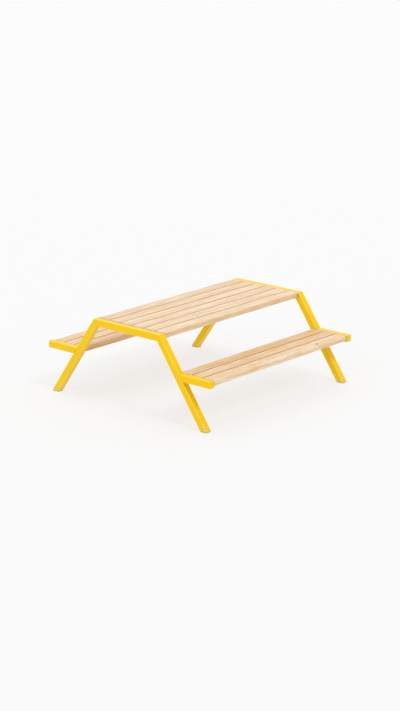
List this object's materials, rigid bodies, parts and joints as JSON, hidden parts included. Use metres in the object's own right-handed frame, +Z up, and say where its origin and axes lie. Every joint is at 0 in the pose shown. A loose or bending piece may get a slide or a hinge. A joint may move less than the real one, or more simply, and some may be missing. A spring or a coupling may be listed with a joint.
{
  "type": "picnic table",
  "caption": "Picnic table with two attached benches: splayed end frames of square steel tube carry timber slats for the top and seats.",
  "frame": {"origin": "on the ground, under the centre of the tabletop", "axes": "+X along the slats, +Y from the front bench to the back bench, +Z up"},
  "size_m": [1.875, 1.84, 0.735],
  "materials": {
    "powder_coat": "satin yellow powder coat on welded steel",
    "timber": "pale planed softwood, clear sealed",
    "screw_steel": "zinc-plated",
    "pad_plastic": "black moulded plastic"
  },
  "bodies": {
    "root": {"back_bench_batten": "powder_coat", "back_bench_screws_left": "screw_steel", "back_bench_screws_middle": "screw_steel", "back_bench_screws_right": "screw_steel", "back_bench_slat_1": "timber", "back_bench_slat_2": "timber", "back_bench_slat_3": "timber", "front_bench_batten": "powder_coat", "front_bench_screws_left": "screw_steel", "front_bench_screws_middle": "screw_steel", "front_bench_screws_right": "screw_steel", "front_bench_slat_1": "timber", "front_bench_slat_2": "timber", "front_bench_slat_3": "timber", "left_back_arm_cap": "powder_coat", "left_back_bench_arm": "powder_coat", "left_back_bench_ledge": "powder_coat", "left_back_foot_pad": "pad_plastic", "left_back_foot_plate": "powder_coat", "left_back_leg": "powder_coat", "left_front_arm_cap": "powder_coat", "left_front_bench_arm": "powder_coat", "left_front_bench_ledge": "powder_coat", "left_front_foot_pad": "pad_plastic", "left_front_foot_plate": "powder_coat", "left_front_leg": "powder_coat", "left_table_ledge": "powder_coat", "left_top_rail": "powder_coat", "right_back_arm_cap": "powder_coat", "right_back_bench_arm": "powder_coat", "right_back_bench_ledge": "powder_coat", "right_back_foot_pad": "pad_plastic", "right_back_foot_plate": "powder_coat", "right_back_leg": "powder_coat", "right_front_arm_cap": "powder_coat", "right_front_bench_arm": "powder_coat", "right_front_bench_ledge": "powder_coat", "right_front_foot_pad": "pad_plastic", "right_front_foot_plate": "powder_coat", "right_front_leg": "powder_coat", "right_table_ledge": "powder_coat", "right_top_rail": "powder_coat", "table_batten": "powder_coat", "table_screws_left": "screw_steel", "table_screws_middle": "screw_steel", "table_screws_right": "screw_steel", "table_slat_1": "timber", "table_slat_2": "timber", "table_slat_3": "timber", "table_slat_4": "timber", "table_slat_5": "timber", "table_slat_6": "timber"}
  },
  "joints": []
}
